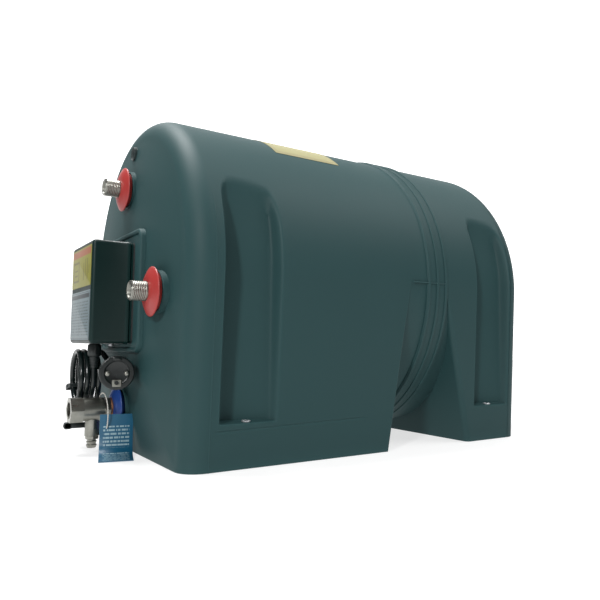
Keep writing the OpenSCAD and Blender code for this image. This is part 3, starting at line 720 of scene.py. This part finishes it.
tail_z = np.linspace(98.0, 111.0, 27)
tail_r = 4.3 + (tail_z - 98) * 0.13 - 0.45 * (np.mod(tail_z - 98, 3.25) > 2.2)
gland_profile = np.concatenate([
    [(3.3, 98.0)], np.stack([tail_r, tail_z], 1),
    [(6.6, 111.4), (7.2, 112.4), (7.7, 113.4), (7.7, 118.5), (7.7, 124.4), (7.2, 125.6),
     (5.9, 126.0), (5.9, 128.5), (3.3, 128.5)]])
make_piece("gland_and_tail", [lathe(gland_profile, at_gland, 72, True, finger_flats)], soft_black,
           stands_for=["cord_gland"], crease=40)


# ---- Front labels
# Two printed film labels are stuck on the cover: a yellow notice with a reddish heading and two
# plain panels, and under it a metallised plate ruled like a form. Neither carries any words.
def printed_rows_group():
    """Rows of short dashes, as small print looks from afar. The place is (across, along) in
    millimetres; a row's height shares out the line, and a noise cut at a level breaks the row."""
    tree, given, out = open_group("printed_rows", [
        ("Place", "Vector", (0, 0, 0)), ("Line pitch", "Float", 4.0), ("Line share", "Float", 0.45),
        ("Dash size", "Float", 2.0), ("Dash share", "Float", 0.5)], [("Mask", "Float")])
    split = place_node(tree, "SeparateXYZ", {0: given.outputs["Place"]})
    line = maths(tree, "DIVIDE", split.outputs["Y"], given.outputs["Line pitch"])
    on_line = maths(tree, "LESS_THAN", maths(tree, "FRACT", line), given.outputs["Line share"])
    dash_x = maths(tree, "DIVIDE", split.outputs["X"], given.outputs["Dash size"])
    place = place_node(tree, "CombineXYZ", {"X": dash_x, "Y": maths(tree, "FLOOR", line)})
    noise = place_node(tree, "TexNoise", {"Vector": place.outputs[0], "Scale": 1.0, "Detail": 1.0})
    dash = maths(tree, "LESS_THAN", noise.outputs["Fac"], given.outputs["Dash share"])
    tree.links.new(maths(tree, "MULTIPLY", on_line, dash), out.inputs["Mask"])
    return tree


PRINTED_ROWS = printed_rows_group()


def inside(tree, x, y, x0, x1, y0, y1):
    """Mask of a box on a label: 1 where x and y are both within their limits."""
    parts = [maths(tree, "COMPARE", value, (low + high) / 2, (high - low) / 2)
             for value, low, high in ((x, x0, x1), (y, y0, y1))]
    return maths(tree, "MULTIPLY", *parts)


def either(tree, *masks):
    """The largest of several masks."""
    total = masks[0]
    for mask in masks[1:]:
        total = maths(tree, "MAXIMUM", total, mask)
    return total


def printed(name, ground, roughness, layers, metallic=0.0, along_flow=False):
    """A printed film: ground colour under ink layers (mask builder, ink colour), all in
    millimetres on the face, with a faint cloudiness from use."""
    material, tree, shader, surface = surfaced(name, MOULDED, {
        "Colour": (*ground, 1), "Cloud size": 40.0, "Cloud depth": 0.16, "Roughness": roughness,
        "Grain size": 1500.0, "Grain height": 0.05, "Edge light": 0.0})
    if along_flow:
        place = place_node(tree, "UVMap", uv_map="flow").outputs[0]
        split = place_node(tree, "SeparateXYZ", {0: place})
        x, y = split.outputs["X"], split.outputs["Y"]
    else:
        where = place_node(tree, "TexCoord").outputs["Object"]
        scaled = place_node(tree, "VectorMath", {0: where, 1: (1000, 1000, 1000)},
                            operation="MULTIPLY")
        split = place_node(tree, "SeparateXYZ", {0: scaled.outputs[0]})
        x, y = split.outputs["X"], split.outputs["Z"]
    flat = place_node(tree, "CombineXYZ", {"X": x, "Y": y}).outputs[0]
    colour = surface.outputs["Colour"]
    for mask_of, ink in layers:
        mix = place_node(tree, "MixRGB", {"Fac": mask_of(tree, x, y, flat), "Color1": colour,
                                          "Color2": (*ink, 1)})
        colour = mix.outputs["Color"]
    tree.links.new(colour, shader.inputs["Base Color"])
    shader.inputs["Metallic"].default_value = metallic
    return material


def small_print(pitch, share, dash, fill, bounds_of_print):
    """Mask builder for rows of small print inside a box on the label."""
    def build(tree, x, y, flat):
        rows = place_node(tree, "Group", {"Place": flat, "Line pitch": pitch, "Line share": share,
                                          "Dash size": dash, "Dash share": fill},
                          node_tree=PRINTED_ROWS)
        return maths(tree, "MULTIPLY", rows.outputs["Mask"],
                     inside(tree, x, y, *bounds_of_print))
    return build


def panels(*boxes):
    """Mask builder for plain printed boxes."""
    return lambda tree, x, y, flat: either(tree, *[inside(tree, x, y, *b) for b in boxes])


def film(name, material, node, width, height, z, face_y):
    """A thin label with round corners on a face that looks forwards."""
    levels = [(face_y + 0.02, 0), (face_y - 0.3, 0), (face_y - 0.38, 0.3)]
    return make_piece(name, [loft(lambda i: rounded_box(width, height, 2.5, i, 5), levels,
                                  on_front(0, z))], material, stands_for=[node])


notice = printed("yellow_film", (0.2, 0.19, 0.025), 0.42, [
    (panels((-45, 45, 228, 236)), (0.25, 0.075, 0.03)),
    (panels((-40, -37, 200, 224), (-14, -11, 200, 224), (-40, -11, 199, 201.5),
            (-40, -11, 221, 223.5), (-33, -18, 206, 208), (-33, -18, 212, 214),
            (10, 13, 200, 220), (19, 22, 204, 224), (28, 31, 200, 224), (36, 38, 206, 216)),
     (0.1, 0.085, 0.012))])
film("notice_label", notice, "front_label", 94, 46, 215, BOX_FRONT)
plate = printed("silver_film", (0.14, 0.185, 0.2), 0.4, [
    (small_print(3.4, 0.42, 2.2, 0.5, (-42, 42, 134, 176)), (0.02, 0.03, 0.035)),
    (panels((-44, 44, 178.5, 183.5)), (0.025, 0.035, 0.04)),
    (panels((-46, 46, 184.8, 185.4), (-46, 46, 132.2, 132.8), (-45.8, -45.2, 132.2, 185.4),
            (45.2, 45.8, 132.2, 185.4), (-2, -1.4, 134, 176)), (0.03, 0.04, 0.045))], 0.15)
film("data_plate", plate, "rating_plate", 94, 56, 159, BOX_FRONT)


# ---- Top label
# A pale printed film follows the barrel's curve on the right shoulder.
TOP_ARC, TOP_Y = np.radians(np.linspace(52, 80, 25)), (-120.0, -28.0)
ground_film = printed("pale_film", (0.24, 0.215, 0.1), 0.5, [
    (lambda tree, x, y, flat: inside(tree, x, y, 6, 88, 10, 70), (0.27, 0.25, 0.11))], 0.0, True)


def on_barrel(arc, y, height):
    """A point over the barrel: (radius + height) (cos, sin) about its axis."""
    r = BARREL_R + height
    return np.stack([r * np.cos(arc), y, AXIS_Z + r * np.sin(arc)], -1)


label_rows = np.linspace(TOP_Y[0], TOP_Y[1], 12)
under = on_barrel(*np.meshgrid(TOP_ARC, label_rows), 0.05)
over = on_barrel(*np.meshgrid(TOP_ARC, label_rows), 0.4)
label_ring = np.concatenate([over, under[:, ::-1]], 1)
arc_mm = np.concatenate([TOP_ARC, TOP_ARC[::-1]]) * BARREL_R - TOP_ARC[0] * BARREL_R
label_flow = np.stack(np.meshgrid(arc_mm, label_rows - TOP_Y[0]), -1)[..., ::-1]
make_piece("shoulder_label", [rings(label_ring)], ground_film,
           stands_for=["top_label"], flow=label_flow.reshape(-1, 2))


# ---- Relief valve
# A nickel-plated brass check and relief valve is screwed on the cold pipe. A fibre washer, a
# union nut, a drain branch with a hose spout, and a small test lever belong to it.
VALVE_Z, VALVE_Y = 50.0, -292.0


def hexagon(across, inset=0.0, count=4):
    """Ring of a hexagon with the given width over its corners, drawn in by inset."""
    corner = np.radians(np.arange(7) * 60)
    points = (across / 2 - inset) * np.stack([np.cos(corner), np.sin(corner)], 1)
    part = (np.arange(count) / count)[None, :, None]
    return (points[:-1, None] * (1 - part) + points[1:, None] * part).reshape(-1, 2)


nut = loft(lambda i: hexagon(30, i), [(-274.05, 0.9), (-274.6, 0.0), (-280.4, 0.0), (-280.95, 0.9)],
           on_front(0, VALVE_Z))
make_piece("union_nut", [nut], plated_brass, stands_for=["valve_nut"], crease=20)
spout_profile = [(2.7, 6.2), (4.6, 6.0), (5.1, 6.8), (6.0, 9.6), (4.9, 10.2), (4.9, 10.9),
                 (5.9, 13.6), (4.9, 14.2), (4.9, 16.0), (5.0, 20.0), (5.4, 20.0), (5.4, 23.9),
                 (2.7, 23.9)]
spout_nut = loft(lambda i: hexagon(15.6, i), [(16.0, 0.5), (16.4, 0), (19.6, 0), (20.0, 0.5)],
                 lambda a, b, d: np.stack([a, b + VALVE_Y, d + 0 * a], -1))
make_piece("drain_spout", [lathe(spout_profile, lambda a, b, h: np.stack(
    [a, b + VALVE_Y, h], -1), 40, True), spout_nut], plated_brass,
    stands_for=["relief_cap"], crease=30)
lever_x = [(-23.5, 0.7), (-23.1, 0), (-20.7, 0), (-20.3, 0.7)]
lever_arm = loft(lambda i: rounded_box(31.0, 6.4, 3.1, i, 6), lever_x,
                 lambda a, b, d: np.stack([d + 0 * a, a + VALVE_Y - 11.5, b + 30], -1))
lever_grip = loft(lambda i: rounded_box(8.0, 8.0, 2, i, 5),
                  [(-26.5, 1), (-25.7, 0), (-21.1, 0), (-20.3, 0.8)],
                  lambda a, b, d: np.stack([d + 0 * a, a + VALVE_Y - 22, b + 30], -1))
make_piece("test_lever", [lever_arm, lever_grip], soft_black,
           body="relief_lever", stands_for=["relief_lever"], crease=40)


# ---- Instruction tag
# A printed plastic card hangs from a cotton string round the valve and curls out along the
# floor. Its rows of small print are only dashes.
TAG_PLACE, TAG_W = np.array([29.0, -272.0, 0.0]), 36.0
tag_bend = np.radians(np.arange(200, 261, 7.5))
tag_line = np.concatenate([
    [(0, 46), (0.25, 42), (0.5, 38), (0.8, 34), (1.2, 30), (1.8, 26), (2.4, 22)],
    np.stack([20.4 + 18 * np.cos(tag_bend), 20 + 18 * np.sin(tag_bend)], 1),
    [(22, 1.9), (26, 1.4), (31, 1.1), (36, 0.9), (41, 0.7), (46, 0.6)]])
c, s = math.cos(PLUG_TURN), math.sin(PLUG_TURN)
tag_route = TAG_PLACE + np.stack([c * tag_line[:, 0], s * tag_line[:, 0], tag_line[:, 1]], 1)
tag_section = rounded_box(TAG_W, 0.8, 0.35, 0, 3)
tag_points, tag_faces = sweep(tag_route, tag_section[:, ::-1], turned=(-s, c, 0))
tag_along = np.concatenate([[0], np.cumsum(np.linalg.norm(np.diff(tag_route, axis=0), axis=1))])
tag_flow = np.stack(np.broadcast_arrays(tag_section[None, :, 0] + TAG_W / 2,
                                        tag_along[:, None]), -1).reshape(-1, 2)
tag_card = printed("blue_card", (0.006, 0.085, 0.16), 0.4, [
    (small_print(4.2, 0.5, 2.0, 0.56, (4, 32, 13, 38)), (0.26, 0.38, 0.42)),
    (small_print(4.2, 0.5, 2.0, 0.56, (4, 32, 45, 77)), (0.26, 0.38, 0.42))], 0.0, True)
make_piece("instruction_tag", [(tag_points, tag_faces)], tag_card,
           stands_for=["care_tag"], flow=tag_flow)


# ---- Tag string
# Two twisted cotton strands tie the tag round the neck of the valve.
turn = np.linspace(0, 2 * np.pi, 181)[:-1]


def strand(phase):
    """One strand of a twisted ring: the ring's place plus a small circle that turns 40 times."""
    out = 25 + 0.4 * np.cos(40 * turn + phase)
    line = np.stack([7 + out * np.cos(turn), -282.5 + 0.4 * np.sin(40 * turn + phase),
                     44 + out * np.sin(turn)], 1)
    ahead = np.roll(line, -1, 0) - np.roll(line, 1, 0)
    ahead /= np.linalg.norm(ahead, axis=1, keepdims=True)
    side = np.cross(ahead, (0, 1, 0))
    side /= np.linalg.norm(side, axis=1, keepdims=True)
    round_it = circle(0.42, 8)
    ring = (line[:, None] + round_it[None, :, :1] * side[:, None]
            + round_it[None, :, 1:] * np.cross(side, ahead)[:, None])
    return rings(ring, True)


cotton = moulded("cotton_string", (0.5, 0.49, 0.45), 0.85, (80.0, 0.2), (3000.0, 0.4))
make_piece("tag_string_twist", [strand(0), strand(np.pi)], cotton,
           stands_for=["tag_string"])


# ---- Parts that keep their made shape
# The tank, flange, element, thermostat and the inside of the valve are plain turned and pressed
# parts, so they keep their shape and take the finish of their own material.
ivory = moulded("ivory_moulding", (0.62, 0.58, 0.45), 0.4, (30.0, 0.1), (900.0, 0.1))
kept_finishes = {
    "foam": moulded("foam", (0.6, 0.5, 0.25), 0.9, (60.0, 0.3), (350.0, 0.8)),
    "tank_steel": metal("tank_steel", (0.5, 0.5, 0.5), 0.35, (1, 0.05, 1), (300.0, 0.25), 0.4),
    "zinc_steel": zinc, "nickel_pipe": nickel, "plated_brass": plated_brass,
    "rubber_seal": moulded("rubber_seal", (0.02, 0.02, 0.02), 0.7, (50.0, 0.2), (1500.0, 0.3)),
    "element_sheath": metal("element_sheath", (0.2, 0.19, 0.18), 0.45, (1, 0.1, 1), (350.0, 0.2)),
    "magnesium": metal("magnesium_cast", (0.45, 0.45, 0.45), 0.6, (1, 1, 1), (300.0, 0.5), 0.3),
    "copper": metal("copper_drawn", (0.65, 0.3, 0.17), 0.25, (1, 1, 0.1), (500.0, 0.1)),
    "ivory_plastic": ivory, "black_plastic": soft_black,
    "red_button": moulded("red_button", (0.5, 0.03, 0.02), 0.3, (60.0, 0.1), (900.0, 0.05)),
    "fibre_washer": moulded("fibre_washer", (0.2, 0.09, 0.045), 0.8, (90.0, 0.4), (900.0, 0.5)),
    "casing_plastic": casing_green, "box_plastic": box_plastic}
foam_tube = [(163, -214), (167, -214), (168, -212), (168, 212), (167, 214), (163, 214)]
make_piece("foam_fill", [lathe(foam_tube, on_front(0, AXIS_Z - 2), 96, True)],
           kept_finishes["foam"], stands_for=["insulation"])
slot_of = {part["node"]: part["material_slot"] for part in frame["record"]["subparts"]}
for node, obj in nodes.items():
    if not obj.hide_render:
        obj.data.materials.clear()
        obj.data.materials.append(kept_finishes[slot_of[node]])


# ---- Floor and light
# A wide pale floor that gives off some light, white paper behind, a broad lamp high over the
# front end, a small one from the front right, and a large soft one over the rear.
FLOOR_GLOW, PAPER_GLOW, ROOM_LIGHT = 0.7, 0.95, 0.12


def glow(material, strength):
    """Lets a material give off white light."""
    shader = material.node_tree.nodes["Principled BSDF"]
    shader.inputs["Emission Color"].default_value = (1, 1, 1, 1)
    shader.inputs["Emission Strength"].default_value = strength


floor_mesh = bpy.data.meshes.new("floor")
FLOOR_HALF = 6.0
floor_mesh.from_pydata([(-FLOOR_HALF, -FLOOR_HALF, 0), (FLOOR_HALF, -FLOOR_HALF, 0),
                        (FLOOR_HALF, FLOOR_HALF, 0), (-FLOOR_HALF, FLOOR_HALF, 0)], [],
                       [(0, 1, 2, 3)])
pale_floor = moulded("pale_floor", (0.3, 0.3, 0.3), 0.8, (3.0, 0.02), (300.0, 0.02), 0.0)
glow(pale_floor, FLOOR_GLOW)
floor_mesh.materials.append(pale_floor)
floor = bpy.data.objects.new("floor", floor_mesh)
floor.location.z = -0.0005
bpy.context.scene.collection.objects.link(floor)

paper = bpy.data.materials.new("backdrop_paper")
paper.use_nodes = True
glow(paper, PAPER_GLOW)
BACKDROP_AWAY, BACKDROP_HALF, BACKDROP_H = 4.5, 6.0, 6.0
level_look = Vector((look.x, look.y, 0)).normalized()
foot = [level_look * BACKDROP_AWAY + side * level * BACKDROP_HALF for side in (-1, 1)]
backdrop_mesh = bpy.data.meshes.new("backdrop")
backdrop_mesh.from_pydata([(p.x, p.y, z) for z in (-0.01, BACKDROP_H) for p in foot], [],
                          [(0, 1, 3, 2)])
backdrop_mesh.materials.append(paper)
backdrop = bpy.data.objects.new("backdrop", backdrop_mesh)
bpy.context.scene.collection.objects.link(backdrop)


def lamp(name, place, aim, size, power):
    """A square area lamp at place, turned to face aim."""
    data = bpy.data.lights.new(name, "AREA")
    data.size, data.energy = size, power
    made = bpy.data.objects.new(name, data)
    made.location = place
    made.rotation_euler = (Vector(aim) - Vector(place)).to_track_quat("-Z", "Y").to_euler()
    bpy.context.scene.collection.objects.link(made)


MIDDLE = (0, -0.05, 0.2)
lamp("high_lamp", (-0.6, -0.65, 2.6), MIDDLE, 1.0, 100)
lamp("side_lamp", (1.75, -2.3, 1.5), MIDDLE, 0.3, 58)
lamp("rear_lamp", (1.3, 1.5, 2.8), (0, 0.6, 0.2), 2.0, 70)
world = bpy.data.worlds.new("room")
bpy.context.scene.world = world
world.use_nodes = True
room = world.node_tree.nodes["Background"]
room.inputs["Color"].default_value = (0.95, 0.97, 1.0, 1)
room.inputs["Strength"].default_value = ROOM_LIGHT
